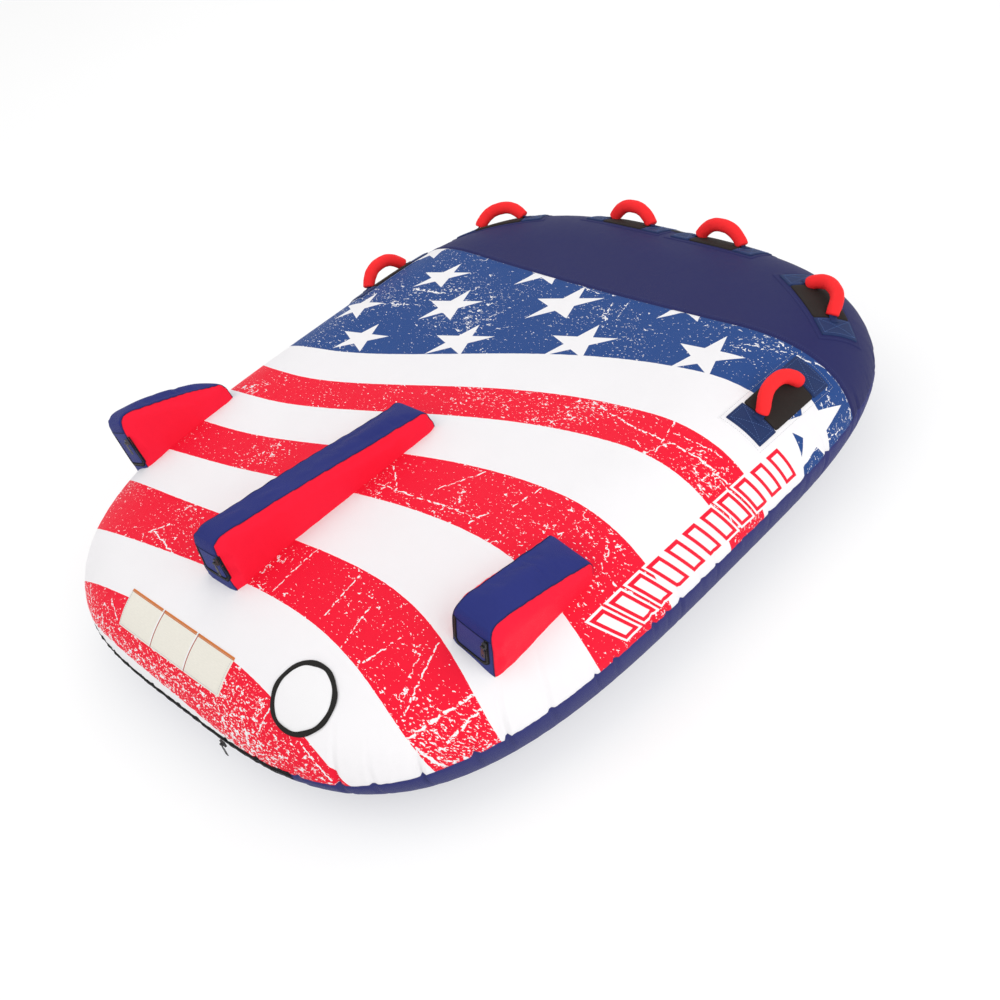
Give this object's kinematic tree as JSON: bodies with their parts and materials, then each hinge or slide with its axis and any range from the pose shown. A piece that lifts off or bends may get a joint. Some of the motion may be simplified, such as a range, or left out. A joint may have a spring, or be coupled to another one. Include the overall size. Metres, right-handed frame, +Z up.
{
  "type": "towable tube",
  "caption": "Inflatable deck tube towed behind a boat: a domed fabric-covered air deck with loop handles on knuckle pads, leg dividers, a valve flap and a nose tow point.",
  "frame": {"origin": "centre of the bounding box, on the flat underside that rests on the water or floor", "axes": "+Z up out of the deck, +Y toward the nose and the tow point, +X to the rider's right when facing the nose"},
  "size_m": [1.374, 1.7416, 0.4162],
  "materials": {
    "print_fabric": "printed woven polyester cover cloth, satin, in red and white stripes and a blue field of stars",
    "navy_fabric": "plain navy woven polyester cover cloth, satin",
    "bladder_pvc": "smooth grey PVC film, welded",
    "zipper_tape": "black woven zipper tape, matt",
    "zipper_coil": "black nylon coil",
    "zipper_metal": "black enamelled zinc, satin",
    "navy_webbing": "navy nylon webbing, matt with a fine rib",
    "knuckle_foam": "black EVA foam sheet, matt",
    "grip_red": "red knitted sleeve over foam, matt",
    "divider_foam": "pale polyethylene foam, matt",
    "divider_red": "red woven polyester, satin",
    "divider_navy": "navy woven polyester, satin",
    "valve_plastic": "white moulded plastic, satin",
    "flap_fabric": "white woven polyester, matt",
    "binding_black": "black binding tape, matt",
    "label_cloth": "cream coated label cloth, matt",
    "tow_webbing": "black nylon webbing, matt",
    "tow_plastic": "black moulded nylon, satin"
  },
  "bodies": {
    "deck": {"cover_top_panel": "print_fabric", "cover_nose_panel": "navy_fabric", "cover_bottom_panel": "navy_fabric", "air_bladder": "bladder_pvc", "cover_zipper_tapes": "zipper_tape", "cover_zipper_teeth": "zipper_coil", "handle_patches": "print_fabric", "handle_tabs_side": "navy_webbing", "knuckle_pad_side_right": "knuckle_foam", "knuckle_pad_side_left": "knuckle_foam", "handle_tabs_outer": "navy_webbing", "knuckle_pad_outer_right": "knuckle_foam", "knuckle_pad_outer_left": "knuckle_foam", "handle_tabs_centre": "navy_webbing", "knuckle_pad_centre_right": "knuckle_foam", "knuckle_pad_centre_left": "knuckle_foam", "divider_foam_middle": "divider_foam", "divider_sides_middle": "divider_red", "divider_gusset_middle": "divider_navy", "divider_end_middle": "divider_navy", "divider_zipper_middle": "zipper_tape", "divider_foam_right": "divider_foam", "divider_sides_right": "divider_red", "divider_gusset_right": "divider_navy", "divider_end_right": "divider_navy", "divider_zipper_right": "zipper_tape", "divider_foam_left": "divider_foam", "divider_sides_left": "divider_red", "divider_gusset_left": "divider_navy", "divider_end_left": "divider_navy", "divider_zipper_left": "zipper_tape", "valve_body": "valve_plastic", "valve_flap_hem": "binding_black", "label_patch": "label_cloth", "tow_webbing": "tow_webbing"},
    "handle_side_right": {"grip_sleeve_side_right": "grip_red", "grip_webbing_side_right": "navy_webbing"},
    "handle_side_left": {"grip_sleeve_side_left": "grip_red", "grip_webbing_side_left": "navy_webbing"},
    "handle_outer_right": {"grip_sleeve_outer_right": "grip_red", "grip_webbing_outer_right": "navy_webbing"},
    "handle_outer_left": {"grip_sleeve_outer_left": "grip_red", "grip_webbing_outer_left": "navy_webbing"},
    "handle_centre_right": {"grip_sleeve_centre_right": "grip_red", "grip_webbing_centre_right": "navy_webbing"},
    "handle_centre_left": {"grip_sleeve_centre_left": "grip_red", "grip_webbing_centre_left": "navy_webbing"},
    "divider_slider_middle": {"divider_slider_middle": "zipper_metal"},
    "divider_pull_middle": {"divider_pull_middle": "zipper_metal"},
    "divider_slider_right": {"divider_slider_right": "zipper_metal"},
    "divider_pull_right": {"divider_pull_right": "zipper_metal"},
    "divider_slider_left": {"divider_slider_left": "zipper_metal"},
    "divider_pull_left": {"divider_pull_left": "zipper_metal"},
    "cover_zip_slider": {"cover_zipper_slider": "zipper_metal"},
    "cover_zip_pull": {"cover_zipper_pull": "zipper_metal"},
    "valve_cap": {"valve_cap": "valve_plastic"},
    "valve_flap": {"valve_flap": "flap_fabric", "valve_flap_binding": "binding_black"},
    "tow_connector": {"tow_connector": "tow_plastic"}
  },
  "joints": [
    {"name": "handle_side_right_tilt", "type": "hinge", "parent": "deck", "child": "handle_side_right", "pos_m": [0.61828, 0.30976, 0.27917], "axis": [0, -0.9994, 0.0346], "range_deg": [-120, 20]},
    {"name": "handle_side_left_tilt", "type": "hinge", "parent": "deck", "child": "handle_side_left", "pos_m": [-0.61828, 0.30976, 0.27917], "axis": [0, 0.9994, -0.0346], "range_deg": [-85, 55]},
    {"name": "handle_outer_right_tilt", "type": "hinge", "parent": "deck", "child": "handle_outer_right", "pos_m": [0.49595, 0.63186, 0.2853], "axis": [0.8239, -0.5558, -0.1107], "range_deg": [-30, 110]},
    {"name": "handle_outer_left_tilt", "type": "hinge", "parent": "deck", "child": "handle_outer_left", "pos_m": [-0.49595, 0.63186, 0.2853], "axis": [0.8239, 0.5558, 0.1107], "range_deg": [-45, 95]},
    {"name": "handle_centre_right_tilt", "type": "hinge", "parent": "deck", "child": "handle_centre_right", "pos_m": [0.13732, 0.75432, 0.28871], "axis": [0.9998, 0, -0.0203], "range_deg": [-80, 60]},
    {"name": "handle_centre_left_tilt", "type": "hinge", "parent": "deck", "child": "handle_centre_left", "pos_m": [-0.13732, 0.75432, 0.28871], "axis": [0.9998, 0, 0.0203], "range_deg": [-78, 62]},
    {"name": "divider_slider_middle_slide", "type": "slide", "parent": "deck", "child": "divider_slider_middle", "axis": [0, 0, 1], "range_m": [-0.035, 0]},
    {"name": "divider_pull_middle_swing", "type": "hinge", "parent": "divider_slider_middle", "child": "divider_pull_middle", "pos_m": [0.03564, -0.6755, 0.36691], "axis": [-1, 0, 0], "range_deg": [0, 150]},
    {"name": "divider_slider_right_slide", "type": "slide", "parent": "deck", "child": "divider_slider_right", "axis": [0.309, 0, 0.9511], "range_m": [-0.035, 0]},
    {"name": "divider_pull_right_swing", "type": "hinge", "parent": "divider_slider_right", "child": "divider_pull_right", "pos_m": [0.61281, -0.53075, 0.32333], "axis": [-0.9511, 0, 0.309], "range_deg": [0, 150]},
    {"name": "divider_slider_left_slide", "type": "slide", "parent": "deck", "child": "divider_slider_left", "axis": [-0.309, 0, 0.9511], "range_m": [-0.035, 0]},
    {"name": "divider_pull_left_swing", "type": "hinge", "parent": "divider_slider_left", "child": "divider_pull_left", "pos_m": [-0.54274, -0.53075, 0.3461], "axis": [-0.9511, 0, -0.309], "range_deg": [0, 150]},
    {"name": "cover_zip_slide", "type": "slide", "parent": "deck", "child": "cover_zip_slider", "axis": [-1, 0, 0], "range_m": [0, 0.33]},
    {"name": "cover_zip_pull_swing", "type": "hinge", "parent": "cover_zip_slider", "child": "cover_zip_pull", "pos_m": [0.165, -0.86895, 0.1215], "axis": [-1, 0, 0], "range_deg": [0, 150]},
    {"name": "valve_cap_turn", "type": "hinge", "parent": "deck", "child": "valve_cap", "pos_m": [0.34535, -0.74964, 0.24659], "axis": [0.1453, -0.4687, 0.8713], "range_deg": [0, 90]},
    {"name": "valve_flap_lift", "type": "hinge", "parent": "deck", "child": "valve_flap", "pos_m": [0.33014, -0.70059, 0.27767], "axis": [-0.9552, -0.2961, 0], "range_deg": [0, 120]},
    {"name": "tow_connector_swing", "type": "hinge", "parent": "deck", "child": "tow_connector", "pos_m": [0, 0.85775, 0.0995], "axis": [1, 0, 0], "range_deg": [-8, 130]}
  ]
}
